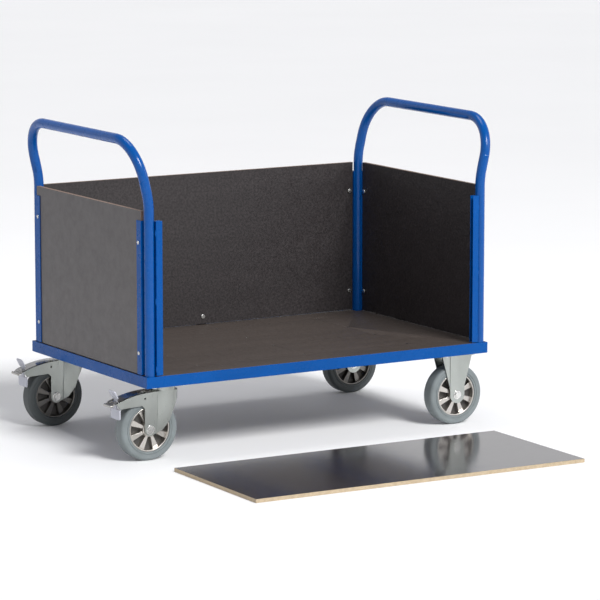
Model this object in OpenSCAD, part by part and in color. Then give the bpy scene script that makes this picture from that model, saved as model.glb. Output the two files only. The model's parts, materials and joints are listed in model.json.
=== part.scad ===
// Platform trolley: a plywood deck let into a steel frame, three fixed walls between two
// tubular push hoops, two braked swivel castors, two fixed castors and a loose front board.
// Millimetres. X runs along the deck, Y across it, Z up.
// The origin is the centre of the deck's top face, and the floor lies load_h below it.

/* [Frame and deck] */
// Length over the end rails
frame_l = 1280; // [1060:10:1540]
// Width over the side rails
frame_w = 800; // [660:10:960]
// Height of the rails
rail_h = 36; // [32:1:44]
// Thickness of the rail steel
rail_t = 4; // [3:0.5:5]
// Width of the rails' inward bottom flange
rail_flange = 18; // [14:1:18]
// Thickness of the deck board
deck_t = 15; // [12:1:18]
// Width of a cross bearer
bearer_w = 40; // [30:1:60]
// Distance of the outer cross bearers from the middle one
bearer_pitch = 395; // [250:5:400]

/* [Push hoops] */
// Diameter of the hoop tube
tube_d = 32; // [27:0.5:38]
// Wall of the hoop tube
tube_t = 2; // [1.5:0.25:3]
// Gap between a post and the end rail
post_gap_x = 2; // [0:0.5:6]
// Gap between a post and the side rail
post_gap_y = 0; // [0:0.5:4]
// Height above the deck at which the hoops start to lean outward
lean_z = 547; // [535:1:640]
// Angle of the lean
lean_a = 13; // [5:0.5:20]
// Radius of the bend into the lean
lean_r = 257; // [150:1:260]
// Distance from the lean's corner to the grip bar's axis
lean_len = 196; // [190:1:260]
// Radius of the bends into the grip bar
hoop_r = 127; // [80:1:140]

/* [Walls] */
// Height of the boards
board_h = 520; // [440:5:530]
// Thickness of the boards
board_t = 12; // [9:0.5:15]
// Gap below the fixed boards
board_gap = 2.5; // [2.5:0.5:8]
// Clearance at a board's side edges
edge_gap = 1; // [0.5:0.5:3]
// Height of the angles and guide channels
angle_h = 490; // [400:5:500]
// Width of the angles' face
angle_w = 28; // [26:1:34]
// Thickness of the angle and channel steel
angle_t = 2.5; // [2:0.25:3.5]
// Height of the lower bolts above the deck
bolt_low = 70; // [50:1:120]
// Height of the upper bolts above the deck
bolt_high = 420; // [250:1:440]
// Diameter of the board bolts
bolt_d = 8; // [6:0.5:9]

/* [Front board] */
// Clearance at each end of the front board in its guide channels
front_l_play = 8; // [4:0.5:12]
// Play of the front board across its guide channel
front_play = 1; // [0.5:0.1:2]
// Depth of the guide channels
guide_w = 22; // [18:1:28]
// Distance of the loose board's middle in front of the frame
lay_y = 405; // [380:5:600]
// Distance of the loose board's middle from the trolley's middle, along the deck
lay_x = -31; // [-60:1:60]
// Turn of the loose board on the floor
lay_turn = -0.9; // [-2:0.1:0]

/* [Castors] */
// Diameter of the wheels
wheel_d = 200; // [160:5:200]
// Width of the tyres
tyre_w = 50; // [40:1:50]
// Thickness of the tyres' rubber
tyre_t = 28; // [22:1:36]
// Gap between the swivel castors' top plates and the end rail's flange
swivel_gap_x = 11; // [2:1:40]
// Gap between the fixed castors' top plates and the end rail's flange
fixed_gap_x = 2; // [1:1:40]
// Gap between the castors' top plates and the side rails' flanges
castor_gap_y = 1; // [1:1:30]
// Trail of the swivel castors
trail = 63; // [55:1:65]
// Length of the castors' top plates
plate_l = 140; // [140:1:150]
// Width of the castors' top plates
plate_w = 110; // [105:1:115]
// Thickness of the top plates
plate_t = 4; // [3:0.5:5]
// Thickness of the corner plates between posts and castors
pad_t = 6; // [4:0.5:8]
// Thickness of the fork steel
fork_t = 3.5; // [3:0.25:4]
// Gap between the fork's side plates
fork_gap = 56; // [54:0.5:60]
// Diameter of the wheel axles
axle_d = 15; // [12:0.5:16]
// Diameter of the king bolts
king_d = 16; // [12:0.5:18]
// Radial running clearance of axles, king bolts and lever pins
run_gap = 0.05; // [0.02:0.01:0.09]

/* [Hidden] */

blue = [0.03, 0.27, 0.66];
film = [0.20, 0.18, 0.18];
zinc = [0.66, 0.70, 0.68];
dark_steel = [0.22, 0.21, 0.20];
pedal_grey = [0.68, 0.69, 0.73];
rubber = [0.50, 0.56, 0.56];
alloy = [0.74, 0.70, 0.66];

$fn = 96;
eps = 0.01;

// Frame
half_l = frame_l / 2;
half_w = frame_w / 2;
tube_r = tube_d / 2;
post_x = half_l - rail_t - post_gap_x - tube_r;
post_y = half_w - rail_t - post_gap_y - tube_r;
deck_gap = 0.5;
notch_gap = 4;
notch_x = post_x - tube_r - notch_gap;
notch_y = post_y - tube_r - notch_gap;

// Castors, measured up from the floor
wheel_r = wheel_d / 2;
rim_r = wheel_r - tyre_t;
race_h = 20;
crown_t = 5;
head_room = 20;
crown_top = wheel_d + head_room;
plate_z = crown_top + race_h;
pad_z = plate_z + plate_t;
load_h = pad_z + rail_h - rail_t;
castor_x = half_l - rail_flange - swivel_gap_x - plate_l / 2;
fixed_x = half_l - rail_flange - fixed_gap_x - plate_l / 2;
castor_y = half_w - rail_flange - castor_gap_y - plate_w / 2;
race_gap = 0.3;
plate_hole_x = 52.5;
plate_hole_y = 40;
castor_bolt_r = 5;
fork_half = fork_gap / 2 + fork_t;
axle_r = axle_d / 2;
king_r = king_d / 2;

// Fork outline, measured from the king bolt's axis and up from the floor
nose_r = 46;
leg_r = 20;
leg_x = -trail;
fold_x = leg_x + leg_r + 4;
fork_step = 2;
arm_end = leg_x - 121;
arm_root = leg_x + 25;
arm_drop = 28;
arm_foot = leg_x - leg_r - 10;
hole_x = leg_x - 19;
hole_z = crown_top - 19;
hole_r = 3.25;
pin_x = leg_x + 5;
pin_z = crown_top - 10;
pin_r = 4;

// Walls: the boards' outer faces stand over the rails' inner faces
wall_in = rail_t - angle_t;
board_x = half_l - rail_t;
board_y = half_w - rail_t;
web_x = post_x - tube_r;
web_y = post_y - tube_r;
bolt_in = 16;
bolt_r = bolt_d / 2;
hole_gap = 0.2;
bolt_z = [bolt_low, bolt_high];

// Front board and its guides
slot = board_t + front_play;
guide_in = 2;
guide_y = half_w - guide_in;
front_l = 2 * (web_x - angle_t - front_l_play);

// Frame fittings
screw_r = 3;
screw_head_r = 5.5;
screw_head_h = 3.5;
screw_rows = [-0.72 * half_w, -0.22 * half_w, 0.22 * half_w, 0.72 * half_w];
bearer_t = 2;

// Hoop: its straights lap over the ends of the bends and are a hair thicker there
bend_lap = 3;
foot_z = pad_z + pad_t - load_h;
bend_swell = 0.15;

// Wall fittings
tab_w = 40;
tab_h = 50;
tab_bolt_z = 28;
bolt_head_h = 4;
bolt_nut_h = 2.2;

// Castor details
castor_head_h = 3.5;
castor_head_r = 8.5;
castor_nut_h = 8;
race_r = 37;
race_bore = 20;
king_head_h = 8;
crown_end = -50;
axle_head_h = 6;
axle_head_r = 11;
lever_w = 48;
lever_t = 3;
lever_start = crown_end - 3;
lever_end = arm_end - 17;
ear_in = 20;
ear_t = 3;
ear_l = 14;
neck_w = 18;
neck_x = arm_end + 15;
strip_t = 3.5;
pedal_low_w = 60;
pedal_top_w = 41;
pedal_r = 7;
pedal_lean = 28;
shoe_l = 20;
shoe_gap = 4.2;
bearing_r = 17.5;
bearing_w = 11;
hub_w = 52;
spokes = 9;
hub_r = 25;
rim_in = rim_r - 7;
rim_w = 46;
tyre_round = 8;
fixed_top = 60;
fixed_leg = 28;
fixed_in = 25.5;

// ---------- frame ----------

// One mitred rail of the given length, its outer face at y = 0 and its top at z = 0
module rail(len) {
    h = len / 2;
    translate([0, 0, -rail_h]) {
        linear_extrude(rail_h)
            polygon([[-h, 0], [h, 0], [h - rail_t, rail_t], [-h + rail_t, rail_t]]);
        linear_extrude(rail_t)
            polygon([[-h, 0], [h, 0], [h - rail_flange, rail_flange], [-h + rail_flange, rail_flange]]);
    }
}

module rail_front() { color(blue) translate([0, -half_w, 0]) rail(frame_l); }
module rail_rear() { color(blue) translate([0, half_w, 0]) rotate(180) rail(frame_l); }
module rail_left() { color(blue) translate([-half_l, 0, 0]) rotate(-90) rail(frame_w); }
module rail_right() { color(blue) translate([half_l, 0, 0]) rotate(90) rail(frame_w); }

// Channels across the frame, open downwards, standing on the rails' flanges
module cross_bearers() {
    h = rail_h - rail_t - deck_t;
    color(blue) for (x = [-bearer_pitch, 0, bearer_pitch]) translate([x, 0, -deck_t - h / 2]) difference() {
        cube([bearer_w, frame_w - 2 * rail_t, h], center = true);
        translate([0, 0, -bearer_t]) cube([bearer_w - 2 * bearer_t, frame_w, h], center = true);
        for (y = screw_rows) translate([0, y, 0]) cylinder(r = screw_r, h = 2 * h, center = true);
    }
}

module deck_screw_places() {
    for (x = [-bearer_pitch, 0, bearer_pitch], y = screw_rows) translate([x, y, 0]) children();
}

// Flush countersunk screws through the deck into the bearers
module deck_screws() {
    color(zinc) deck_screw_places() {
        translate([0, 0, -screw_head_h]) cylinder(r1 = screw_r, r2 = screw_head_r, h = screw_head_h);
        translate([0, 0, -deck_t - 3]) cylinder(r = screw_r, h = deck_t + 3 - screw_head_h);
    }
}

module deck_board() {
    w = half_l - rail_t - deck_gap;
    d = half_w - rail_t - deck_gap;
    color(film) difference() {
        translate([-w, -d, -deck_t]) cube([2 * w, 2 * d, deck_t]);
        for (sx = [-1, 1], sy = [-1, 1]) in_quarter(sx, sy)
            translate([notch_x, notch_y, -deck_t - 1]) cube([w, d, deck_t + 2]);
        deck_screw_places() {
            translate([0, 0, -screw_head_h]) cylinder(r1 = screw_r, r2 = screw_head_r, h = screw_head_h);
            translate([0, 0, -deck_t - 1]) cylinder(r = screw_r, h = deck_t + 2 - screw_head_h);
            translate([0, 0, -eps]) cylinder(r = screw_head_r, h = 1);
        }
    }
}

// Puts children, drawn in the +X +Y quarter, into the quarter with the given signs
module in_quarter(sx, sy) {
    mirror([sx < 0 ? 1 : 0, 0, 0]) mirror([0, sy < 0 ? 1 : 0, 0]) children();
}

// ---------- hoops ----------

// Half a hoop as solid rod of radius r, standing on its post's axis
module hoop_rod(r) {
    tan_l = lean_r * tan(lean_a / 2);
    leg_top = lean_z - tan_l;
    straight = lean_len - tan_l - hoop_r;
    translate([0, 0, foot_z]) cylinder(r = r, h = leg_top - foot_z);
    translate([lean_r, 0, leg_top]) rotate([90, 0, 180]) rotate_extrude(angle = lean_a)
        translate([lean_r, 0]) circle(r);
    translate([0, 0, lean_z]) rotate([0, lean_a, 0]) {
        translate([0, 0, tan_l - bend_lap]) cylinder(r = r + bend_swell, h = straight + bend_lap);
        translate([0, -hoop_r, lean_len - hoop_r]) rotate([90, 0, 90]) rotate_extrude(angle = 90)
            translate([hoop_r, 0]) circle(r);
    }
}

// A bent tube hoop standing in the frame's corners and leaning outward at the top
module hoop(side) {
    color(blue) mirror([side < 0 ? 1 : 0, 0, 0]) difference() {
        hoop_pair(tube_r);
        hoop_pair(tube_r - tube_t);
    }
}

module hoop_pair(r) {
    bar = 2 * (post_y - hoop_r + bend_lap);
    for (m = [0, 1]) mirror([0, m, 0]) translate([post_x, post_y, 0]) hoop_rod(r);
    translate([post_x, 0, lean_z]) rotate([0, lean_a, 0]) translate([0, 0, lean_len]) rotate([90, 0, 0])
        cylinder(r = r + bend_swell, h = bar, center = true);
}

module left_hoop() { hoop(-1); }
module right_hoop() { hoop(1); }

// ---------- angles, guides and boards ----------

// Bolt places of an angle: the face lies in the x-z plane and the bolts run along y
module angle_bolts(r) {
    for (z = bolt_z) translate([-bolt_in, 0, z]) rotate([90, 0, 0])
        cylinder(r = r, h = 40, center = true);
}

// An angle with its face in the x-z plane, x running back from its corner at x = 0
module wall_angle() {
    web = angle_t + board_t + 7;
    difference() {
        translate([-angle_w, -angle_t, board_gap]) cube([angle_w, angle_t, angle_h - board_gap]);
        angle_bolts(bolt_r + hole_gap);
    }
    translate([-angle_t, -web, board_gap]) cube([angle_t, web - angle_t + eps, angle_h - board_gap]);
}

module end_angle(sx, sy) {
    color(blue) in_quarter(sx, sy) translate([half_l - wall_in, web_y, 0]) mirror([1, -1, 0]) wall_angle();
}

module left_front_angle() { end_angle(-1, -1); }
module left_rear_angle() { end_angle(-1, 1); }
module right_front_angle() { end_angle(1, -1); }
module right_rear_angle() { end_angle(1, 1); }

module back_angle(sx) {
    color(blue) in_quarter(sx, 1) translate([web_x, half_w - wall_in, 0]) wall_angle();
}

module back_left_angle() { back_angle(-1); }
module back_right_angle() { back_angle(1); }

// Upright tab on the rear rail that holds the middle of the back board
module back_tab() {
    color(blue) difference() {
        translate([-tab_w / 2, board_y, 0]) cube([tab_w, angle_t, tab_h]);
        translate([0, board_y, tab_bolt_z]) rotate([90, 0, 0])
            cylinder(r = bolt_r + hole_gap, h = 20, center = true);
    }
}

// Channel that takes the front board, open toward the other post
module guide(sx) {
    w = slot + 2 * angle_t;
    color(blue) in_quarter(sx, -1) translate([web_x - guide_w, guide_y - w, board_gap]) difference() {
        cube([guide_w, w, angle_h - board_gap]);
        translate([-1, angle_t, -1]) cube([guide_w - angle_t + 1, slot, angle_h]);
    }
}

module left_guide() { guide(-1); }
module right_guide() { guide(1); }

module end_board(sx) {
    w = web_y - angle_t - edge_gap;
    color(film) in_quarter(sx, 1) difference() {
        translate([board_x - board_t, -w, board_gap]) cube([board_t, 2 * w, board_h - board_gap]);
        for (sy = [-1, 1]) in_quarter(1, sy) translate([board_x, web_y, 0]) mirror([1, -1, 0])
            angle_bolts(bolt_r + hole_gap);
    }
}

module left_board() { end_board(-1); }
module right_board() { end_board(1); }

module back_board() {
    w = web_x - angle_t - edge_gap;
    color(film) difference() {
        translate([-w, board_y - board_t, board_gap]) cube([2 * w, board_t, board_h - board_gap]);
        for (sx = [-1, 1]) in_quarter(sx, 1) translate([web_x, board_y, 0]) angle_bolts(bolt_r + hole_gap);
        translate([0, board_y, tab_bolt_z]) rotate([90, 0, 0])
            cylinder(r = bolt_r + hole_gap, h = 3 * board_t, center = true);
    }
}

// The removable board, lying on the floor in front of the trolley
module front_board() {
    color(film) translate([lay_x, -half_w - lay_y, -load_h]) rotate(lay_turn)
        translate([-front_l / 2, -board_h / 2, 0]) cube([front_l, board_h, board_t]);
}

// Every board bolt, as a frame whose y axis points out of the load space at the angle's outer face
module board_bolt_places() {
    for (z = bolt_z, sx = [-1, 1]) {
        in_quarter(sx, 1) translate([web_x - bolt_in, half_w - wall_in, z]) children();
        for (sy = [-1, 1]) in_quarter(sx, sy)
            translate([half_l - wall_in, web_y - bolt_in, z]) mirror([1, -1, 0]) children();
    }
    translate([0, half_w - wall_in, tab_bolt_z]) children();
}

module board_bolts() {
    grip = angle_t + board_t;
    color(zinc) board_bolt_places() rotate([90, 0, 0]) {
        translate([0, 0, -bolt_nut_h]) cylinder(r = bolt_r, h = grip + bolt_nut_h);
        translate([0, 0, grip]) cylinder(r = 2 * bolt_r, h = bolt_head_h);
    }
}

module board_nuts() {
    color(zinc) board_bolt_places() rotate([90, 0, 0]) translate([0, 0, -bolt_nut_h]) difference() {
        cylinder(r = 1.6 * bolt_r, h = bolt_nut_h, $fn = 6);
        translate([0, 0, -1]) cylinder(r = bolt_r, h = bolt_nut_h + 2, $fn = 96);
    }
}

// ---------- castors ----------

// The swivel castors stand at the left and the fixed castors at the right
function axis_x(sx) = sx < 0 ? -castor_x : fixed_x;

module at_castor(sx, sy) { translate([axis_x(sx), sy * castor_y, -load_h]) children(); }

module plate_places() {
    for (x = [-plate_hole_x, plate_hole_x], y = [-plate_hole_y, plate_hole_y]) translate([x, y, 0]) children();
}

module plate_holes() {
    plate_places() translate([0, 0, plate_z - 1]) cylinder(r = castor_bolt_r, h = 30);
}

// Countersunk head of a castor bolt, flush with the corner plate's top
module castor_head() {
    translate([0, 0, pad_z + pad_t - castor_head_h])
        cylinder(r1 = castor_bolt_r, r2 = castor_head_r, h = castor_head_h);
}

// Plates on the rails' flanges that carry the posts above and the castors below
module corner_plates() {
    y_in = castor_y - plate_w / 2 - 10;
    color(blue) for (sx = [-1, 1], sy = [-1, 1]) let(x_in = sx * axis_x(sx) - plate_l / 2 - 15) difference() {
        in_quarter(sx, sy) translate([x_in, y_in, pad_z - load_h])
            cube([half_l - rail_t - x_in, half_w - rail_t - y_in, pad_t]);
        at_castor(sx, sy) {
            plate_holes();
            plate_places() castor_head();
            translate([0, 0, pad_z - 1]) cylinder(r = king_r + 4, h = pad_t + 2);
        }
    }
}

module castor_bolt_places() {
    for (sx = [-1, 1], sy = [-1, 1]) at_castor(sx, sy) plate_places() children();
}

module castor_bolts() {
    low = plate_z - castor_nut_h - 1;
    color(zinc) castor_bolt_places() {
        castor_head();
        translate([0, 0, low]) cylinder(r = castor_bolt_r, h = pad_z + pad_t - castor_head_h - low);
    }
}

module castor_nuts() {
    color(zinc) castor_bolt_places() translate([0, 0, plate_z - castor_nut_h]) difference() {
        cylinder(r = 9, h = castor_nut_h, $fn = 6);
        translate([0, 0, -1]) cylinder(r = castor_bolt_r, h = castor_nut_h + 2, $fn = 96);
    }
}

module top_plate() {
    translate([-plate_l / 2, -plate_w / 2, plate_z]) cube([plate_l, plate_w, plate_t]);
}

module swivel_plate() {
    color(zinc) difference() {
        top_plate();
        plate_holes();
        translate([0, 0, plate_z - 1]) cylinder(r = king_r, h = plate_t + 2);
    }
}

// Ball race between the top plate and the fork's crown
module race() {
    color(zinc) translate([0, 0, crown_top + race_gap]) difference() {
        cylinder(r = race_r, h = race_h - race_gap);
        translate([0, 0, -1]) cylinder(r = race_bore, h = race_h + 2);
    }
}

module king_bolt() {
    color(zinc) {
        translate([0, 0, crown_top - crown_t - race_gap - king_head_h])
            cylinder(r = 1.7 * king_r, h = king_head_h);
        translate([0, 0, crown_top - crown_t - race_gap - eps])
            cylinder(r = king_r, h = pad_z + pad_t / 2 - crown_top + crown_t + race_gap);
    }
}

// Upper edge of the fork's arm, falling off towards its end
function arm_top(x) = crown_top - arm_drop * pow((arm_root - x) / (arm_root - arm_end), 2.3);

// Outline of the fork seen from the side, x along the trail and y up
module fork_side() {
    steps = 8;
    arc = [for (i = [0:steps]) let(x = arm_root + (arm_end - arm_root) * i / steps) [x, arm_top(x)]];
    polygon(concat(
        [[leg_x + 12, wheel_r - 16], [leg_x + 43, wheel_r - 5], [leg_x + 70, wheel_r + 25],
         [leg_x + 83, wheel_r + 60], [nose_r, crown_top - 16], [nose_r, crown_top]],
        arc,
        [[arm_end + 14, crown_top - 45], [arm_foot, crown_top - 41], [leg_x - leg_r, crown_top - 51],
         [leg_x - leg_r, wheel_r]]));
    translate([leg_x, wheel_r]) circle(leg_r);
}

// Plan of the fork: sides that step in past the legs and end in a half-round nose
module fork_plan(w, x_nose) {
    v = w - fork_step;
    polygon([[arm_end - 5, -w], [fold_x, -w], [fold_x + 3, -v], [x_nose - v, -v],
             [x_nose - v, v], [fold_x + 3, v], [fold_x, w], [arm_end - 5, w]]);
    translate([x_nose - v, 0]) circle(v);
}

// Pressed fork with a closed crown, open arms behind and a leg down to the axle each side
module swivel_fork() {
    color(zinc) difference() {
        union() {
            intersection() {
                rotate([90, 0, 0]) translate([0, 0, -fork_half - 1]) linear_extrude(2 * fork_half + 2)
                    fork_side();
                difference() {
                    linear_extrude(crown_top + 1) fork_plan(fork_half, nose_r);
                    translate([0, 0, -1]) linear_extrude(crown_top + 3) fork_plan(fork_half - fork_t, nose_r - fork_t);
                }
            }
            translate([0, 0, crown_top - crown_t]) intersection() {
                linear_extrude(crown_t) fork_plan(fork_half, nose_r);
                translate([crown_end, -fork_half - 1, -1]) cube([2 * nose_r, 2 * fork_half + 2, crown_t + 2]);
            }
        }
        translate([0, 0, crown_top - crown_t - 1]) cylinder(r = king_r + run_gap, h = crown_t + 2);
        cross_hole(leg_x, wheel_r, axle_r);
        cross_hole(hole_x, hole_z, hole_r);
        cross_hole(pin_x, pin_z, pin_r);
    }
}

// A hole across the castor, along y
module cross_hole(x, z, r) {
    translate([x, 0, z]) rotate([90, 0, 0]) cylinder(r = r, h = 3 * fork_half, center = true);
}

// Hexagon-headed axle with its nut on the far side
module axle_at(x) {
    color(zinc) translate([x, 0, wheel_r]) rotate([90, 0, 0]) {
        cylinder(r = axle_r, h = 2 * fork_half, center = true);
        for (m = [0, 1]) mirror([0, 0, m]) translate([0, 0, fork_half])
            cylinder(r = axle_head_r, h = axle_head_h, $fn = 6);
    }
}

// Pivot pin of the brake lever, flush with the fork's sides
module lever_pin() {
    color(zinc) translate([pin_x, 0, pin_z]) rotate([90, 0, 0])
        cylinder(r = pin_r, h = 2 * fork_half, center = true);
}

// Bent strip that follows the arms' upper edge and ends in a tongue
module lever() {
    steps = 8;
    xs = [for (i = [0:steps]) lever_start + (lever_end - lever_start) * i / steps];
    top = [for (x = xs) [x, arm_top(x) + 1]];
    low = [for (i = [steps:-1:0]) [xs[i], arm_top(xs[i]) + 1 - lever_t]];
    color(dark_steel) difference() {
        union() {
            rotate([90, 0, 0]) translate([0, 0, -lever_w / 2]) linear_extrude(lever_w)
                polygon(concat(top, low));
            for (m = [0, 1]) mirror([0, m, 0]) translate([pin_x - ear_l / 2, ear_in, pin_z - 6])
                cube([ear_l, ear_t, arm_top(pin_x - ear_l / 2) + 1.5 - lever_t - pin_z + 6]);
        }
        cross_hole(pin_x, pin_z, pin_r + run_gap);
        translate([neck_x - strip_t, -neck_w / 2, hole_z - 40]) cube([strip_t, neck_w, 60]);
    }
}

// Upright rounded tab of the pedal's strip, standing on the y axis
module tab(w, h) {
    translate([-strip_t, 0, 0]) rotate([90, 0, 90]) linear_extrude(strip_t) {
        translate([-w / 2 + pedal_r, 0]) square([w - 2 * pedal_r, h]);
        translate([-w / 2, pedal_r]) square([w, h - 2 * pedal_r]);
        for (x = [-1, 1], y = [pedal_r, h - pedal_r]) translate([x * (w / 2 - pedal_r), y]) circle(pedal_r);
    }
}

// Two-way foot pedal on the lever's end: a wide tab below it and a leaning tab above it
module pedal() {
    low_end = crown_top - 80;
    low_top = crown_top - 47;
    neck_top = arm_top(neck_x) + 10;
    color(pedal_grey) {
        translate([neck_x, 0, low_end]) tab(pedal_low_w, low_top - low_end);
        translate([neck_x - strip_t, -neck_w / 2, low_top - 1])
            cube([strip_t, neck_w, neck_top - low_top + 1]);
        translate([neck_x, 0, neck_top - 2]) rotate([0, -pedal_lean, 0]) tab(pedal_top_w, 30);
    }
}

// Brake block under the lever, just clear of the tyre
module shoe() {
    x = hole_x - 10;
    top = arm_top(x - shoe_l) + 1 - lever_t;
    low = wheel_r + sqrt(pow(wheel_r, 2) - pow(x - leg_x, 2)) + shoe_gap;
    color(dark_steel) rotate([90, 0, 0]) translate([0, 0, -ear_in + 2]) linear_extrude(2 * ear_in - 4)
        polygon([[x, low], [x, arm_top(x) + 1 - lever_t - 0.2], [x - shoe_l, top - 0.2], [x - shoe_l, low]]);
}

module bearings_at(x) {
    color(zinc) translate([x, 0, wheel_r]) rotate([90, 0, 0]) for (m = [0, 1]) mirror([0, 0, m])
        translate([0, 0, hub_w / 2 - bearing_w]) difference() {
            cylinder(r = bearing_r, h = bearing_w);
            translate([0, 0, -1]) cylinder(r = axle_r + run_gap, h = bearing_w + 2);
        }
}

// Die-cast rim: hub, thin web, spoke blades on both sides and the outer ring
module rim_at(x) {
    color(alloy) translate([x, 0, wheel_r]) rotate([90, 0, 0]) difference() {
        union() {
            cylinder(r = hub_r, h = hub_w, center = true);
            cylinder(r = rim_in + 1, h = 8, center = true);
            difference() {
                cylinder(r = rim_r, h = rim_w, center = true);
                cylinder(r = rim_in, h = rim_w + 2, center = true);
            }
            for (i = [0:spokes - 1]) rotate(i * 360 / spokes)
                translate([hub_r - 2, -6, -rim_w / 2 + 4]) cube([rim_in - hub_r + 4, 12, rim_w - 8]);
        }
        cylinder(r = axle_r + 2, h = hub_w + 2, center = true);
        for (m = [0, 1]) mirror([0, 0, m]) translate([0, 0, hub_w / 2 - bearing_w])
            cylinder(r = bearing_r, h = bearing_w + 1);
    }
}

// Solid tyre with rounded shoulders
module tyre_at(x) {
    h = tyre_w / 2;
    color(rubber) translate([x, 0, wheel_r]) rotate([90, 0, 0]) rotate_extrude()
        union() {
            translate([rim_r, -h]) square([wheel_r - rim_r - tyre_round, tyre_w]);
            translate([rim_r, -h + tyre_round]) square([wheel_r - rim_r, tyre_w - 2 * tyre_round]);
            for (s = [-1, 1]) translate([wheel_r - tyre_round, s * (h - tyre_round)]) circle(tyre_round);
        }
}

// Fixed fork: top plate and two sides, each a raised strip down to the axle between two flanges
module fixed_fork() {
    color(zinc) difference() {
        union() {
            top_plate();
            for (s = [0, 1]) mirror([0, s, 0]) {
                fixed_side(fork_half) {
                    translate([-fixed_leg, wheel_r]) square([2 * fixed_leg, plate_z + eps - wheel_r]);
                    translate([0, wheel_r]) circle(fixed_leg);
                }
                fixed_side(fork_half - fork_step) for (m = [0, 1]) mirror([m, 0])
                    polygon([[fixed_in, wheel_r + 10], [fixed_leg + 2, wheel_r + 30],
                             [fixed_top, plate_z + eps], [fixed_in, plate_z + eps]]);
            }
        }
        plate_holes();
        cross_hole(0, wheel_r, axle_r);
    }
}

// Extrudes an outline, x along and y up, to one thickness of fork steel with its outer face at y
module fixed_side(y) {
    translate([0, y, 0]) rotate([90, 0, 0]) linear_extrude(fork_t) children();
}

module left_front_plate() { at_castor(-1, -1) swivel_plate(); }
module left_front_race() { at_castor(-1, -1) race(); }
module left_front_king_bolt() { at_castor(-1, -1) king_bolt(); }
module left_front_fork() { at_castor(-1, -1) swivel_fork(); }
module left_front_axle() { at_castor(-1, -1) axle_at(leg_x); }
module left_front_lever_pin() { at_castor(-1, -1) lever_pin(); }
module left_front_lever() { at_castor(-1, -1) lever(); }
module left_front_pedal() { at_castor(-1, -1) pedal(); }
module left_front_shoe() { at_castor(-1, -1) shoe(); }
module left_front_bearings() { at_castor(-1, -1) bearings_at(leg_x); }
module left_front_rim() { at_castor(-1, -1) rim_at(leg_x); }
module left_front_tyre() { at_castor(-1, -1) tyre_at(leg_x); }

module left_rear_plate() { at_castor(-1, 1) swivel_plate(); }
module left_rear_race() { at_castor(-1, 1) race(); }
module left_rear_king_bolt() { at_castor(-1, 1) king_bolt(); }
module left_rear_fork() { at_castor(-1, 1) swivel_fork(); }
module left_rear_axle() { at_castor(-1, 1) axle_at(leg_x); }
module left_rear_lever_pin() { at_castor(-1, 1) lever_pin(); }
module left_rear_lever() { at_castor(-1, 1) lever(); }
module left_rear_pedal() { at_castor(-1, 1) pedal(); }
module left_rear_shoe() { at_castor(-1, 1) shoe(); }
module left_rear_bearings() { at_castor(-1, 1) bearings_at(leg_x); }
module left_rear_rim() { at_castor(-1, 1) rim_at(leg_x); }
module left_rear_tyre() { at_castor(-1, 1) tyre_at(leg_x); }

module right_front_fork() { at_castor(1, -1) fixed_fork(); }
module right_front_bearings() { at_castor(1, -1) bearings_at(0); }
module right_front_rim() { at_castor(1, -1) rim_at(0); }
module right_front_tyre() { at_castor(1, -1) tyre_at(0); }
module right_rear_fork() { at_castor(1, 1) fixed_fork(); }
module right_rear_bearings() { at_castor(1, 1) bearings_at(0); }
module right_rear_rim() { at_castor(1, 1) rim_at(0); }
module right_rear_tyre() { at_castor(1, 1) tyre_at(0); }
module right_axles() { for (sy = [-1, 1]) at_castor(1, sy) axle_at(0); }

rail_front();
rail_rear();
rail_left();
rail_right();
cross_bearers();
corner_plates();
deck_board();
deck_screws();
left_hoop();
right_hoop();
left_front_angle();
left_rear_angle();
right_front_angle();
right_rear_angle();
back_left_angle();
back_right_angle();
back_tab();
left_guide();
right_guide();
left_board();
right_board();
back_board();
front_board();
board_bolts();
board_nuts();
castor_bolts();
castor_nuts();
left_front_plate();
left_front_race();
left_front_king_bolt();
left_front_fork();
left_front_axle();
left_front_lever_pin();
left_front_lever();
left_front_pedal();
left_front_shoe();
left_front_bearings();
left_front_rim();
left_front_tyre();
left_rear_plate();
left_rear_race();
left_rear_king_bolt();
left_rear_fork();
left_rear_axle();
left_rear_lever_pin();
left_rear_lever();
left_rear_pedal();
left_rear_shoe();
left_rear_bearings();
left_rear_rim();
left_rear_tyre();
right_front_fork();
right_front_bearings();
right_front_rim();
right_front_tyre();
right_rear_fork();
right_rear_bearings();
right_rear_rim();
right_rear_tyre();
right_axles();
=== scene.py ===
"""Looks for the platform trolley: painted steel frame and hoops, film-faced plywood boards,
zinc-plated castor forks, cast wheels, braked swivel castors, floor, lights and camera."""

import json
import math

import bmesh
import bpy
from bpy.props import FloatProperty, FloatVectorProperty, IntProperty, PointerProperty
from mathutils import Matrix, Vector

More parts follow.
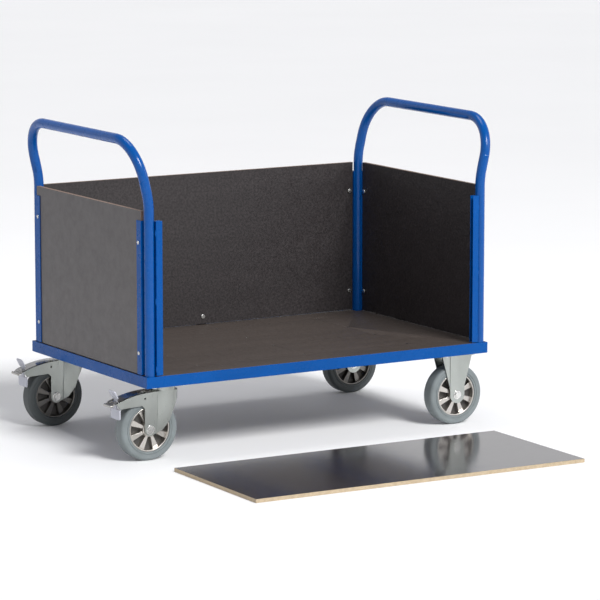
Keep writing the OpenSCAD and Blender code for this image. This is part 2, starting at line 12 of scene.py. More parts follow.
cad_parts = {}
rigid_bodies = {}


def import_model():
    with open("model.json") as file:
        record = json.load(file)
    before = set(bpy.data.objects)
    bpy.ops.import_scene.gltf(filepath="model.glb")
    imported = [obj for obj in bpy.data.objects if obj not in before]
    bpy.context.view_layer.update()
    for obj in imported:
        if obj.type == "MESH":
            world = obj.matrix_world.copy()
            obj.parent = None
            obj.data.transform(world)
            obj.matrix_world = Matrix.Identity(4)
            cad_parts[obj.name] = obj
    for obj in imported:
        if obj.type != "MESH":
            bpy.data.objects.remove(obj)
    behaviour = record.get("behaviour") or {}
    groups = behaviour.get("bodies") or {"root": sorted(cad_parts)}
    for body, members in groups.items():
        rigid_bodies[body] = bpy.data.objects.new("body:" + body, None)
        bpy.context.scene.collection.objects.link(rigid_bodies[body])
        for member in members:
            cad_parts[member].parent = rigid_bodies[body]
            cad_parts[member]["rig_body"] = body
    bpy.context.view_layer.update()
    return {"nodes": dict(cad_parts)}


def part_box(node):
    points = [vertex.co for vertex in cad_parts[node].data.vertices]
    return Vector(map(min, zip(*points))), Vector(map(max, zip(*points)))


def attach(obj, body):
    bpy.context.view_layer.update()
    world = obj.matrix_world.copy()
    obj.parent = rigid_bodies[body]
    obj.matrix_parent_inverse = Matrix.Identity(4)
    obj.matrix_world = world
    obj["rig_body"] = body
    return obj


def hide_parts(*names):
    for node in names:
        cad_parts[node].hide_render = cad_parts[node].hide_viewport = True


bl_info = {
    "name": "Platform Trolley",
    "version": (1, 0, 0),
    "blender": (4, 5, 0),
    "location": "View3D > Sidebar > Trolley",
    "description": "Dresses a packed platform trolley with detailed pieces and finishes",
    "category": "Object",
}

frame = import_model()
FLOOR_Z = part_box("front_board")[0].z

CASTORS = ("left_front", "left_rear", "right_front", "right_rear")
SWIVELS = ("left_front", "left_rear")
RAILS = ("rail_front", "rail_rear", "rail_left", "rail_right")

# Radii along the edges of the pieces
BOARD_EDGE = 0.0006
FASTENER_EDGE = 0.0006
BOLT_HEAD_EDGE = 0.0022
BEARING_EDGE = 0.0005
FORK_EDGE = 0.0012
LEVER_EDGE = 0.0008
SHOE_EDGE = 0.001
PEDAL_EDGE = 0.0014
RIB_EDGE = 0.0005
RIM_EDGE = 0.0007


# ---------- settings ----------


class TrolleyPaint(bpy.types.PropertyGroup):
    """Colours of the trolley's finishes"""

    blue: FloatVectorProperty(
        name="Frame blue", description="Powder coat on frame, hoops and angles",
        subtype="COLOR", size=3, min=0, max=1, default=(0.0, 0.072, 0.30),
    )
    film: FloatVectorProperty(
        name="Film", description="Phenolic film on the boards' faces",
        subtype="COLOR", size=3, min=0, max=1, default=(0.040, 0.033, 0.034),
    )
    deck: FloatVectorProperty(
        name="Deck film", description="Rough film on the deck's top",
        subtype="COLOR", size=3, min=0, max=1, default=(0.072, 0.056, 0.048),
    )
    ply: FloatVectorProperty(
        name="Plywood edge", description="Light plies at the boards' cut edges",
        subtype="COLOR", size=3, min=0, max=1, default=(0.66, 0.53, 0.36),
    )
    sealed: FloatVectorProperty(
        name="Sealed edge", description="Stained edges of the fixed boards",
        subtype="COLOR", size=3, min=0, max=1, default=(0.30, 0.20, 0.15),
    )
    zinc: FloatVectorProperty(
        name="Zinc", description="Plating on forks, bolts and nuts",
        subtype="COLOR", size=3, min=0, max=1, default=(0.46, 0.485, 0.46),
    )
    tyre: FloatVectorProperty(
        name="Tyre", description="Grey rubber of the tyres",
        subtype="COLOR", size=3, min=0, max=1, default=(0.175, 0.20, 0.205),
    )
    rim: FloatVectorProperty(
        name="Rim", description="Cast aluminium of the wheels",
        subtype="COLOR", size=3, min=0, max=1, default=(0.66, 0.63, 0.59),
    )
    pedal: FloatVectorProperty(
        name="Pedal", description="Light grey paint of the brake pedals",
        subtype="COLOR", size=3, min=0, max=1, default=(0.47, 0.48, 0.54),
    )


class TrolleySizes(bpy.types.PropertyGroup):
    """Sizes of the details that the looks add"""

    edge: FloatProperty(
        name="Edge rounding", description="Radius along the steel's edges",
        unit="LENGTH", min=0.0002, max=0.003, default=0.0008,
    )
    spokes: IntProperty(
        name="Spokes", description="Spokes of each wheel", min=5, max=16, default=8,
    )
    rib_pitch: FloatProperty(
        name="Rib pitch", description="Distance between the ribs on a brake lever",
        unit="LENGTH", min=0.003, max=0.012, default=0.006,
    )
    # Painted shade: this factor darkens the rear wheels' tyre and rim colours to stand in for the deck's
    # shadow on them
    rear_painted_shade: FloatProperty(
        name="Rear wheel painted shade", description="Brightness of the rear wheels against the front ones",
        subtype="FACTOR", min=0.1, max=1.0, default=0.32,
    )
    groove: FloatProperty(
        name="Tyre groove", description="Depth of the groove line on a tyre's side",
        unit="LENGTH", min=0.0003, max=0.002, default=0.0015,
    )


def paint():
    """The trolley's colours"""
    return bpy.context.scene.trolley_paint


def sizes():
    """The trolley's detail sizes"""
    return bpy.context.scene.trolley_sizes


# ---------- finishes ----------


def new_material(name):
    """An empty node material: (material, nodes, links, principled shader, object coordinates)"""
    mat = bpy.data.materials.new(name)
    mat.use_nodes = True
    nodes, links = mat.node_tree.nodes, mat.node_tree.links
    shader = nodes["Principled BSDF"]
    coord = nodes.new("ShaderNodeTexCoord")
    return mat, nodes, links, shader, coord.outputs["Object"]


def noise(nodes, links, vector, scale, detail=4.0, rough=0.55, stretch=None):
    """Noise value on the given coordinates, optionally stretched along an axis"""
    if stretch is not None:
        mapping = nodes.new("ShaderNodeMapping")
        mapping.inputs["Scale"].default_value = stretch
        links.new(vector, mapping.inputs["Vector"])
        vector = mapping.outputs["Vector"]
    tex = nodes.new("ShaderNodeTexNoise")
    tex.inputs["Scale"].default_value = scale
    tex.inputs["Detail"].default_value = detail
    tex.inputs["Roughness"].default_value = rough
    links.new(vector, tex.inputs["Vector"])
    return tex.outputs["Fac"]


def ramp(nodes, links, value, stops):
    """Colour ramp over a value; stops are (position, colour)"""
    node = nodes.new("ShaderNodeValToRGB")
    elements = node.color_ramp.elements
    while len(elements) < len(stops):
        elements.new(0.5)
    for element, (pos, colour) in zip(elements, stops):
        element.position = pos
        element.color = (*colour, 1.0)
    links.new(value, node.inputs["Fac"])
    return node.outputs["Color"]


def spread(nodes, links, value, low, high, from_low=0.3, from_high=0.7):
    """A value mapped from its middle range to low..high"""
    node = nodes.new("ShaderNodeMapRange")
    node.inputs["From Min"].default_value = from_low
    node.inputs["From Max"].default_value = from_high
    node.inputs["To Min"].default_value = low
    node.inputs["To Max"].default_value = high
    links.new(value, node.inputs["Value"])
    return node.outputs["Result"]


def bump(nodes, links, shader, height, strength, distance=0.001):
    """Raises the surface by a height value"""
    node = nodes.new("ShaderNodeBump")
    node.inputs["Strength"].default_value = strength
    node.inputs["Distance"].default_value = distance
    links.new(height, node.inputs["Height"])
    links.new(node.outputs["Normal"], shader.inputs["Normal"])


def shade(colour, factor):
    """A colour made lighter or darker"""
    return tuple(min(1.0, c * factor) for c in colour)


def powder_coat(name, gloss):
    """Blue powder coat with fine orange peel and slightly dusty patches"""
    mat, nodes, links, shader, at = new_material(name)
    blue = tuple(paint().blue)
    patches = noise(nodes, links, at, 6.0)
    colour = ramp(nodes, links, patches, [(0.3, shade(blue, 0.93)), (0.7, shade(blue, 1.06))])
    links.new(colour, shader.inputs["Base Color"])
    links.new(spread(nodes, links, noise(nodes, links, at, 25.0), 0.22, 0.36), shader.inputs["Roughness"])
    shader.inputs["Specular IOR Level"].default_value = 0.12
    shader.inputs["Coat Weight"].default_value = gloss
    shader.inputs["Coat Roughness"].default_value = 0.08
    bump(nodes, links, shader, noise(nodes, links, at, 700.0, 2.0), 0.12, 0.0004)
    return mat


def film(name, colour, rough, emboss, gloss=0.0, speckle=0.3):
    """Phenolic film over veneer: faint streaks, scuffs and an embossed wire mesh"""
    mat, nodes, links, shader, at = new_material(name)
    streaks = noise(nodes, links, at, 2.0, 5.0, 0.55, stretch=(1.0, 7.0, 7.0))
    base = ramp(nodes, links, streaks, [(0.3, shade(colour, 0.9)), (0.7, shade(colour, 1.12))])
    mesh_cells = nodes.new("ShaderNodeTexVoronoi")
    mesh_cells.inputs["Scale"].default_value = 190.0
    links.new(at, mesh_cells.inputs["Vector"])
    grit = noise(nodes, links, at, 130.0, 3.0, 0.7)
    mix = nodes.new("ShaderNodeMix")
    mix.data_type = "RGBA"
    mix.blend_type = "MULTIPLY"
    mix.inputs["Factor"].default_value = speckle
    links.new(base, mix.inputs[6])
    links.new(ramp(nodes, links, grit, [(0.38, (0.25, 0.25, 0.25)), (0.62, (1.0, 1.0, 1.0))]), mix.inputs[7])
    links.new(mix.outputs[2], shader.inputs["Base Color"])
    scuffs = noise(nodes, links, at, 40.0, 5.0)
    links.new(spread(nodes, links, scuffs, rough * 0.85, rough * 1.2), shader.inputs["Roughness"])
    shader.inputs["Coat Weight"].default_value = gloss
    shader.inputs["Coat Roughness"].default_value = 0.12
    bump(nodes, links, shader, mesh_cells.outputs["Distance"], emboss, 0.0006)
    return mat


PLIES = 9


def ply_edge(name, colour, axis, thickness, low):
    """Cut edge of a plywood board: thin plies stacked along the given axis"""
    mat, nodes, links, shader, at = new_material(name + " plywood edge")
    split = nodes.new("ShaderNodeSeparateXYZ")
    links.new(at, split.inputs["Vector"])
    scaled = nodes.new("ShaderNodeMapRange")
    scaled.inputs["From Min"].default_value = low
    scaled.inputs["From Max"].default_value = low + thickness
    links.new(split.outputs["XYZ"[axis]], scaled.inputs["Value"])
    pairs = nodes.new("ShaderNodeMath")
    pairs.operation = "MULTIPLY"
    pairs.inputs[1].default_value = PLIES / 2
    links.new(scaled.outputs["Result"], pairs.inputs[0])
    within = nodes.new("ShaderNodeMath")
    within.operation = "PINGPONG"
    within.inputs[1].default_value = 0.5
    links.new(pairs.outputs["Value"], within.inputs[0])
    bands = ramp(nodes, links, within.outputs["Value"], [(0.18, shade(colour, 0.5)), (0.30, colour)])
    grain = noise(nodes, links, at, 90.0, 6.0, 0.65)
    mix = nodes.new("ShaderNodeMix")
    mix.data_type = "RGBA"
    mix.blend_type = "MULTIPLY"
    mix.inputs["Factor"].default_value = 0.6
    links.new(bands, mix.inputs[6])
    links.new(ramp(nodes, links, grain, [(0.3, (0.62, 0.58, 0.52)), (0.65, (1, 1, 1))]), mix.inputs[7])
    links.new(mix.outputs[2], shader.inputs["Base Color"])
    links.new(spread(nodes, links, grain, 0.55, 0.8), shader.inputs["Roughness"])
    bump(nodes, links, shader, grain, 0.35, 0.0004)
    return mat


def plated(name, colour, rough=0.3, metal=1.0, streak=(1.0, 1.0, 1.0), spots=0.9):
    """Smooth metal plating with faint upright clouds and slightly uneven gloss"""
    mat, nodes, links, shader, at = new_material(name)
    cloud = noise(nodes, links, at, 14.0, 3.0, 0.4, stretch=(1.0, 1.0, 0.35))
    base = ramp(nodes, links, cloud, [(0.3, shade(colour, spots)), (0.7, shade(colour, 1.04))])
    links.new(base, shader.inputs["Base Color"])
    shader.inputs["Metallic"].default_value = metal
    rub = noise(nodes, links, at, 60.0, 3.0, 0.5, stretch=streak)
    links.new(spread(nodes, links, rub, rough * 0.9, rough * 1.15), shader.inputs["Roughness"])
    return mat


def rubber(name, tone):
    """Matt grey rubber with dust and fine moulding grain"""
    mat, nodes, links, shader, at = new_material(name)
    dust = noise(nodes, links, at, 14.0, 6.0, 0.6)
    links.new(ramp(nodes, links, dust, [(0.3, shade(tone, 0.82)), (0.7, shade(tone, 1.15))]),
              shader.inputs["Base Color"])
    links.new(spread(nodes, links, dust, 0.45, 0.65), shader.inputs["Roughness"])
    bump(nodes, links, shader, noise(nodes, links, at, 500.0, 3.0), 0.2, 0.0003)
    return mat


_made = {}


def material(key, maker, *args):
    """The named material, made once"""
    if key not in _made:
        _made[key] = maker(*args)
    return _made[key]


def blue_paint():
    """Paint of the frame, the angles and the guides"""
    return material("blue", powder_coat, "blue powder coat", 0.05)


def glossy_blue():
    """Shinier paint of the tubes"""
    return material("tube blue", powder_coat, "glossy blue tube", 0.35)


def zinc_plate():
    """Plating of the forks, plates and races, with upright streaks"""
    upright = (9.0, 9.0, 0.6)
    return material("zinc", plated, "satin zinc", tuple(paint().zinc), 0.30, 1.0, upright, 0.84)


def bright_bolt():
    """Bright plating of the fasteners"""
    return material("bolt", plated, "bright zinc bolt", (0.72, 0.72, 0.70), 0.25)


# ---------- mesh helpers ----------


def clean_copy(node):
    """A bmesh copy of a CAD node, merged and with its flat faces whole again"""
    bm = bmesh.new()
    bm.from_mesh(frame["nodes"][node].data)
    for layer in list(bm.loops.layers.uv):
        bm.loops.layers.uv.remove(layer)
    bmesh.ops.remove_doubles(bm, verts=bm.verts[:], dist=0.00001)
    bmesh.ops.dissolve_limit(bm, angle_limit=math.radians(0.6), verts=bm.verts[:], edges=bm.edges[:])
    return bm


def add_piece(name, bm, body, materials, stands_for=(), edge=0.0, segments=2, angle=30.0):
    """Turns a bmesh into a piece that rides on a body, with rounded edges where edge is given"""
    mesh = bpy.data.meshes.new(name)
    bm.to_mesh(mesh)
    bm.free()
    mesh.shade_smooth()
    mesh.set_sharp_from_angle(angle=math.radians(angle))
    obj = bpy.data.objects.new(name, mesh)
    bpy.context.scene.collection.objects.link(obj)
    for mat in materials:
        mesh.materials.append(mat)
    if edge:
        bevel = obj.modifiers.new("rounded edges", "BEVEL")
        bevel.width = edge
        bevel.segments = segments
        bevel.limit_method = "ANGLE"
        bevel.angle_limit = math.radians(angle)
        bevel.harden_normals = True
        bevel.miter_outer = "MITER_ARC"
    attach(obj, body)
    if stands_for:
        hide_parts(*stands_for)
    return obj


def dress(node, body, mat, edge, segments=2, angle=30.0):
    """A CAD node carried over with rounded edges and a finish"""
    return add_piece(node + "_finish", clean_copy(node), body, [mat], [node], edge, segments, angle)


def body_of_node(node):
    """The body that a CAD node rides on"""
    return frame["nodes"][node]["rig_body"]


def ring_profile(bm, points, centre, steps=96):
    """Spins a closed profile of (radius, offset along Y) points about the wheel's axis"""
    verts = [bm.verts.new(centre + Vector((r, y, 0))) for r, y in points]
    face = bm.faces.new(verts)
    bmesh.ops.spin(
        bm, geom=[face, *face.edges, *face.verts], cent=centre, axis=(0, 1, 0),
        angle=2 * math.pi, steps=steps, use_merge=True, use_duplicate=False,
    )
    if face.is_valid:
        bmesh.ops.delete(bm, geom=[face], context="FACES_ONLY")


def settle(bm, dist=0.00001):
    """Merges doubled vertices and turns the faces outwards"""
    bmesh.ops.remove_doubles(bm, verts=bm.verts[:], dist=dist)
    bmesh.ops.recalc_face_normals(bm, faces=bm.faces[:])
    return bm


def block(bm, size, matrix):
    """A box of the given size, placed by a matrix"""
    return bmesh.ops.create_cube(bm, size=1.0, matrix=matrix @ Matrix.Diagonal((*size, 1.0)))["verts"]


# ---------- operators ----------


class TROLLEY_OT_frame(bpy.types.Operator):
    """Paint the rails, cross bearers and corner plates"""

    bl_idname = "trolley.frame"
    bl_label = "Frame"

    def execute(self, context):
        edge = sizes().edge
        for node in (*RAILS, "cross_bearers", "corner_plates"):
            dress(node, "trolley", blue_paint(), edge)
        return {"FINISHED"}


class TROLLEY_OT_hoops(bpy.types.Operator):
    """Paint the bent tube hoops and lay the weld beads between the posts and the guides"""

    bl_idname = "trolley.hoops"
    bl_label = "Hoops"

    def execute(self, context):
        for node in ("left_hoop", "right_hoop"):
            dress(node, "trolley", glossy_blue(), 0.0, angle=50.0)
        self.weld_beads()
        return {"FINISHED"}

    def weld_beads(self):
        """Three long beads up each guide channel"""
        bead = 0.0035
        outward = 1.0005
        bm = bmesh.new()
        low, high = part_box("left_guide")
        for x in (low.x, -low.x):
            for k in range(3):
                z = low.z + (high.z - low.z) * (0.04 + 0.44 * k)
                spot = Matrix.Translation((x * outward, low.y + bead, z))
                bmesh.ops.create_uvsphere(
                    bm, u_segments=12, v_segments=8, radius=bead,
                    matrix=spot @ Matrix.Diagonal((0.8, 0.8, 3.2, 1.0)),
                )
        add_piece("weld_beads", settle(bm), "trolley", [blue_paint()])


class TROLLEY_OT_wall_steel(bpy.types.Operator):
    """Paint the wall angles, the back tab and the front board's guide channels"""

    bl_idname = "trolley.wall_steel"
    bl_label = "Wall angles and guides"

    def execute(self, context):
        nodes = [n for n in frame["nodes"] if n.endswith(("_angle", "_guide")) or n == "back_tab"]
        for node in sorted(nodes):
            dress(node, "trolley", blue_paint(), sizes().edge * 0.7)
        return {"FINISHED"}


class TROLLEY_OT_boards(bpy.types.Operator):
    """Face the boards with film and show the plies at their cut edges"""

    bl_idname = "trolley.boards"
    bl_label = "Boards"

    def execute(self, context):
        dark = tuple(paint().film)
        deck = material("deck", film, "deck film", tuple(paint().deck), 0.5, 0.45, 0.0, 0.35)
        smooth = material("smooth", film, "smooth film", shade(dark, 1.25), 0.38, 0.05, 0.15, 0.12)
        rough = material("rough", film, "rough film", dark, 0.5, 0.4, 0.0, 0.8)
        glossy = material("loose", film, "glossy film", dark, 0.14, 0.02, 0.6, 0.1)
        bare, sealed = tuple(paint().ply), tuple(paint().sealed)
        for node, low_face, high_face, axis, tone in (
            ("deck_board", deck, deck, 2, sealed),
            ("left_board", smooth, rough, 0, sealed),
            ("right_board", rough, smooth, 0, sealed),
            ("back_board", rough, smooth, 1, sealed),
            ("front_board", glossy, glossy, 2, bare),
        ):
            self.board(node, low_face, high_face, axis, tone)
        return {"FINISHED"}

    def board(self, node, low_face, high_face, axis, tone):
        """One board, its two faces lying across the given axis"""
        low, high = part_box(node)
        edge = ply_edge(node, tone, axis, high[axis] - low[axis], low[axis])
        bm = clean_copy(node)
        for face in bm.faces:
            side = face.normal[axis]
            if abs(side) < 0.5:
                face.material_index = 1
            else:
                face.material_index = 0 if side < 0 else 2
        add_piece(node + "_finish", bm, body_of_node(node), [low_face, edge, high_face],
                  [node], BOARD_EDGE)


class TROLLEY_OT_fasteners(bpy.types.Operator):
    """Finish the bolts, nuts, screws, axles, king bolts, races, plates and bearings"""

    bl_idname = "trolley.fasteners"
    bl_label = "Fasteners and bearings"

    def execute(self, context):
        dress("board_bolts", "trolley", bright_bolt(), BOLT_HEAD_EDGE, 4)
        for node in ("board_nuts", "deck_screws", "castor_bolts", "castor_nuts", "right_axles"):
            dress(node, "trolley", bright_bolt(), FASTENER_EDGE)
        for where in SWIVELS:
            for part in ("plate", "race", "king_bolt", "axle", "lever_pin"):
                node = f"{where}_{part}"
                mat = bright_bolt() if part == "axle" else zinc_plate()
                dress(node, body_of_node(node), mat, FASTENER_EDGE)
        for where in CASTORS:
            node = f"{where}_bearings"
            dress(node, body_of_node(node), bright_bolt(), BEARING_EDGE)
        return {"FINISHED"}


class TROLLEY_OT_forks(bpy.types.Operator):
    """Plate the castor forks, round their pressed edges and put washers under the axle heads"""

    bl_idname = "trolley.forks"
    bl_label = "Castor forks"

    def execute(self, context):
        for where in CASTORS:
            node = f"{where}_fork"
            dress(node, body_of_node(node), zinc_plate(), FORK_EDGE, 3)
            self.washers(where, body_of_node(node))
        return {"FINISHED"}

    def washers(self, where, body):
        """A round washer under each end of the axle"""
        # The fixed forks have the same width, but their top plates are wider
        low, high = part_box("left_front_fork")
        face = (high.y - low.y) / 2
        low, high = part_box(f"{where}_tyre")
        bore, rim = 0.0085, 0.015
        sunk, corner, top = face - 0.0003, face + 0.0006, face + 0.0014
        bm = bmesh.new()
        for s in (1, -1):
            points = [(bore, sunk), (bore, top), (rim - 0.001, top), (rim, corner), (rim, sunk)]
            ring_profile(bm, [(r, s * y) for r, y in points], (low + high) / 2)
        add_piece(f"{where}_axle_washers", settle(bm), body, [bright_bolt()])


class TROLLEY_OT_brakes(bpy.types.Operator):
    """Finish the brake levers with ribs, the two-way pedals and the shoes"""

    bl_idname = "trolley.brakes"
    bl_label = "Brakes"

    def execute(self, context):
        dark = material("lever", plated, "polished lever steel", (0.42, 0.41, 0.39), 0.14)
        grey = material("pedal", plated, "light grey paint", tuple(paint().pedal), 0.5, 0.0)
        for where in SWIVELS:
            body = f"{where}_brake"
            dress(f"{where}_lever", body, dark, LEVER_EDGE, 3)
            dress(f"{where}_shoe", body, dark, SHOE_EDGE, 3)
            dress(f"{where}_pedal", body, grey, PEDAL_EDGE, 3)
            self.ribs(where, body, dark)
        return {"FINISHED"}

    def ribs(self, where, body, mat):
        """Ribs across the lever's end and the rounded lip below them"""
        rib = (0.0016, 0.038, 0.0018)
        rib_in = 0.005
        lip_r = 0.0042
        low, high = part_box(f"{where}_lever")
        y = (low.y + high.y) / 2
        bm = bmesh.new()
        for k in range(4):
            x = low.x + rib_in + k * sizes().rib_pitch
            block(bm, rib, Matrix.Translation((x, y, self.lever_top(where, x))))
        across = Matrix.Rotation(math.pi / 2, 4, "X")
        lip = Matrix.Translation((low.x + 0.003, y, low.z + 0.0035)) @ across
        bmesh.ops.create_cone(bm, cap_ends=True, segments=24, radius1=lip_r, radius2=lip_r,
                              depth=high.y - low.y - 0.002, matrix=lip)
        add_piece(f"{where}_lever_ribs", settle(bm), body, [mat], edge=RIB_EDGE)

    def lever_top(self, where, x):
        """Height of the lever's upper face at x"""
        verts = [v.co for v in frame["nodes"][f"{where}_lever"].data.vertices]
        near = sorted(verts, key=lambda p: abs(p.x - x))
        xs = sorted({round(p.x, 5) for p in near[:400]})
        left = max([v for v in xs if v <= x], default=xs[0])
        right = min([v for v in xs if v >= x], default=xs[-1])
        top = {v: max(p.z for p in verts if abs(p.x - v) < 0.0001) for v in (left, right)}
        if right == left:
            return top[left]
        share = (x - left) / (right - left)
        return top[left] * (1 - share) + top[right] * share


class TROLLEY_OT_wheels(bpy.types.Operator):
    """Model the tyres with their groove lines and the cast rims with their spokes"""

    bl_idname = "trolley.wheels"
    bl_label = "Wheels"

    def execute(self, context):
        for where in CASTORS:
            body = f"{where}_wheel"
            row = where.split("_")[1]
            # Rear wheels get darker tyre and rim colours: painted shade for the deck's shadow falling on
            # them
            tone = 1.0 if row == "front" else sizes().rear_painted_shade
            alloy, grey = shade(tuple(paint().rim), tone), shade(tuple(paint().tyre), tone)
            rim = material(f"{row} rim", plated, f"{row} cast aluminium", alloy, 0.33)
            tyre = material(f"{row} tyre", rubber, f"{row} grey rubber", grey)
            low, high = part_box(f"{where}_tyre")
            centre = (low + high) / 2
            radius, half = (high.x - low.x) / 2, (high.y - low.y) / 2
            self.tyre(where, body, centre, radius, half, tyre)
            self.rim(where, body, centre, half, rim)
        return {"FINISHED"}

    def tyre(self, where, body, centre, radius, half, mat):
        """Rounded tread, flat sides with a groove line near the rim"""
        inner, g = radius * 0.72, sizes().groove
        side = [
            (inner, half - 0.0015), (inner + 0.0015, half), (radius * 0.785, half),
            (radius * 0.79, half - g), (radius * 0.80, half - g), (radius * 0.805, half),
            (radius * 0.90, half),
        ]
        r = radius * 0.10
        for k in range(1, 9):
            a = math.radians(90 - 90 * k / 8)
            side.append((radius - r + r * math.cos(a), half - r + r * math.sin(a)))
        bm = bmesh.new()
        ring_profile(bm, self.both_sides(side), centre)
        add_piece(f"{where}_tyre_finish", settle(bm), body, [mat],
                  [f"{where}_tyre"], angle=40.0)

    def rim(self, where, body, centre, half, mat):
        """Rim ring with a raised lip, thin web, hub, and wedge spokes on both sides"""
        bm = bmesh.new()
        lip = half - 0.0015
        ring = [
            (0.0655, 0.006), (0.0665, lip - 0.001), (0.0675, lip), (0.0705, lip), (0.0718, lip - 0.002),
        ]
        ring_profile(bm, self.both_sides(ring), centre)
        end = half + 0.001
        hub = [
            (0.0176, end - 0.011), (0.0176, end - 0.001), (0.0186, end), (0.0225, end),
            (0.0245, end - 0.003), (0.0250, end - 0.012),
        ]
        ring_profile(bm, self.both_sides(hub), centre)
        self.blades(bm, centre)
        settle(bm)
        web = bmesh.new()
        ring_profile(web, self.both_sides([(0.024, 0.0025), (0.0664, 0.0025)]), centre)
        # The web between the spokes is coloured near black: painted shade for the shadow deep in the wheel's
        # pockets
        pocket_shade = material("web", plated, "dull cast web", (0.10, 0.095, 0.09), 0.6, 0.6)
        add_piece(f"{where}_rim_web", settle(web), body, [pocket_shade])
        add_piece(f"{where}_rim_finish", bm, body, [mat], [f"{where}_rim"],
                  RIM_EDGE, 2, 35.0)

    def both_sides(self, side):
        """A closed profile from the points on its +Y side"""
        return side + [(r, -y) for r, y in reversed(side)]

    def blades(self, bm, centre):
        """Wedge spokes from the hub to the rim on both sides of the web"""
        middle = 0.0445
        for i in range(sizes().spokes):
            angle = 2 * math.pi * (i + 0.5) / sizes().spokes
            turn = Matrix.Translation(centre) @ Matrix.Rotation(angle, 4, "Y")
            for s in (1, -1):
                for v in block(bm, (0.043, 0.017, 0.010), Matrix.Translation((middle, s * 0.0105, 0))):
                    outer = v.co.x > middle
                    v.co.z *= 2.3 if outer else 1.05
                    if abs(v.co.y) > 0.0105:
                        v.co.y += s * (-0.004 if outer else 0.002)
                        v.co.z *= 0.86
                    v.co = turn @ v.co


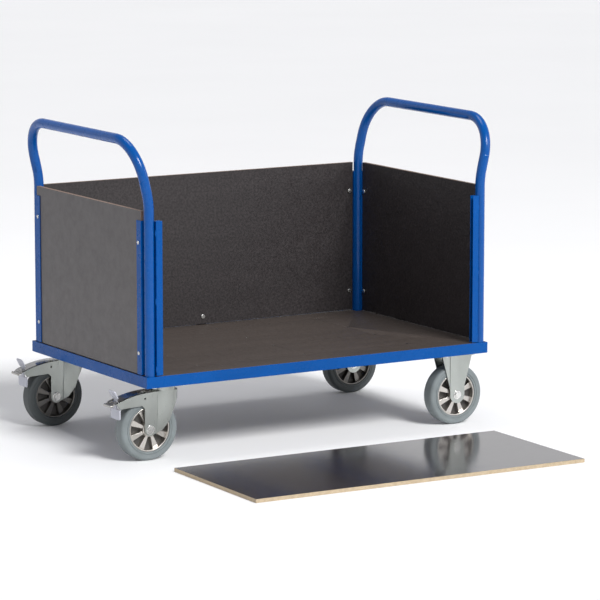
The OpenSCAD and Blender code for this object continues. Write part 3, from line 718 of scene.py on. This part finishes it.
class TROLLEY_OT_stage(bpy.types.Operator):
    """Set the floor, the lights and the camera"""

    bl_idname = "trolley.stage"
    bl_label = "Stage"

    def execute(self, context):
        self.floor()
        self.sun("key", (0.7, -5.0, 4.4), 3.0, 22)
        self.light("fill", (4.8, -3.2, 2.2), 1.8, 25)
        self.light("top", (0.3, 0.8, 4.8), 2.4, 60)
        self.world()
        self.camera()
        return {"FINISHED"}

    def floor(self):
        """Pale floor that covers the whole view"""
        mesh = bpy.data.meshes.new("floor")
        bm = bmesh.new()
        bmesh.ops.create_grid(bm, x_segments=2, y_segments=2, size=60.0,
                              matrix=Matrix.Translation((0, 0, FLOOR_Z - 0.0002)))
        bm.to_mesh(mesh)
        bm.free()
        mat, nodes, links, shader, at = new_material("pale floor")
        cloud = noise(nodes, links, at, 0.8, 3.0)
        links.new(ramp(nodes, links, cloud, [(0.3, (0.955, 0.955, 0.955)), (0.7, (0.975, 0.975, 0.975))]),
                  shader.inputs["Base Color"])
        shader.inputs["Roughness"].default_value = 0.7
        mesh.materials.append(mat)
        obj = bpy.data.objects.new("floor", mesh)
        bpy.context.scene.collection.objects.link(obj)

    def sun(self, name, place, strength, spread_deg):
        """Even light from one side over the whole floor"""
        data = bpy.data.lights.new(name, "SUN")
        data.energy = strength
        data.angle = math.radians(spread_deg)
        obj = bpy.data.objects.new(name, data)
        obj.rotation_euler = (-Vector(place)).to_track_quat("-Z", "Y").to_euler()
        bpy.context.scene.collection.objects.link(obj)

    def light(self, name, place, size, power):
        """Soft round lamp that looks at the trolley"""
        data = bpy.data.lights.new(name, "AREA")
        data.shape = "DISK"
        data.size = size
        data.energy = power
        obj = bpy.data.objects.new(name, data)
        obj.location = place
        obj.rotation_euler = (Vector((0, -0.1, 0.1)) - Vector(place)).to_track_quat("-Z", "Y").to_euler()
        bpy.context.scene.collection.objects.link(obj)

    def world(self):
        """Soft studio surround: dark low down and overhead, bright bands between, white to the camera"""
        world = bpy.data.worlds.new("studio")
        world.use_nodes = True
        nodes, links = world.node_tree.nodes, world.node_tree.links
        back = nodes["Background"]
        coord = nodes.new("ShaderNodeTexCoord")
        split = nodes.new("ShaderNodeSeparateXYZ")
        links.new(coord.outputs["Generated"], split.inputs["Vector"])
        height = spread(nodes, links, split.outputs["Z"], 0.0, 1.0, -1.0, 1.0)
        surround = ramp(nodes, links, height, [
            (0.38, (0.25, 0.25, 0.26)), (0.50, (0.40, 0.40, 0.41)), (0.56, (1.0, 1.0, 1.0)),
            (0.66, (0.75, 0.76, 0.80)), (0.85, (0.22, 0.22, 0.24)),
        ])
        links.new(surround, back.inputs["Color"])
        back.inputs["Strength"].default_value = 0.9
        plain = nodes.new("ShaderNodeBackground")
        plain.inputs["Color"].default_value = (1.0, 1.0, 1.0, 1.0)
        path = nodes.new("ShaderNodeLightPath")
        mix = nodes.new("ShaderNodeMixShader")
        links.new(path.outputs["Is Camera Ray"], mix.inputs["Fac"])
        links.new(back.outputs["Background"], mix.inputs[1])
        links.new(plain.outputs["Background"], mix.inputs[2])
        links.new(mix.outputs["Shader"], nodes["World Output"].inputs["Surface"])
        bpy.context.scene.world = world
        bpy.context.scene.view_settings.view_transform = "Standard"

    def camera(self):
        """Long lens from the front left, a little above"""
        data = bpy.data.cameras.new("camera")
        data.sensor_width = 36.0
        data.lens = 206.8
        data.clip_end = 200.0
        obj = bpy.data.objects.new("camera", data)
        obj.location = (-5.654, -9.727, 1.954)
        obj.rotation_euler = (math.radians(80.83), 0, math.radians(-30.85))
        bpy.context.scene.collection.objects.link(obj)
        bpy.context.scene.camera = obj


OPERATORS = (
    TROLLEY_OT_frame, TROLLEY_OT_hoops, TROLLEY_OT_wall_steel, TROLLEY_OT_boards,
    TROLLEY_OT_fasteners, TROLLEY_OT_forks, TROLLEY_OT_brakes, TROLLEY_OT_wheels, TROLLEY_OT_stage,
)


class TROLLEY_PT_sidebar(bpy.types.Panel):
    """Lists the trolley's settings and pieces"""

    bl_label = "Platform Trolley"
    bl_idname = "TROLLEY_PT_sidebar"
    bl_space_type = "VIEW_3D"
    bl_region_type = "UI"
    bl_category = "Trolley"

    def draw(self, context):
        for group in (context.scene.trolley_paint, context.scene.trolley_sizes):
            for name in group.__annotations__:
                self.layout.prop(group, name)
        for op in OPERATORS:
            self.layout.operator(op.bl_idname)


CLASSES = (TrolleyPaint, TrolleySizes, *OPERATORS, TROLLEY_PT_sidebar)


def register():
    for cls in CLASSES:
        bpy.utils.register_class(cls)
    bpy.types.Scene.trolley_paint = PointerProperty(type=TrolleyPaint)
    bpy.types.Scene.trolley_sizes = PointerProperty(type=TrolleySizes)


def unregister():
    del bpy.types.Scene.trolley_sizes
    del bpy.types.Scene.trolley_paint
    for cls in reversed(CLASSES):
        bpy.utils.unregister_class(cls)


def main():
    register()
    for op in OPERATORS:
        getattr(bpy.ops.trolley, op.bl_idname.split(".")[1])()


if __name__ == "__main__":
    main()
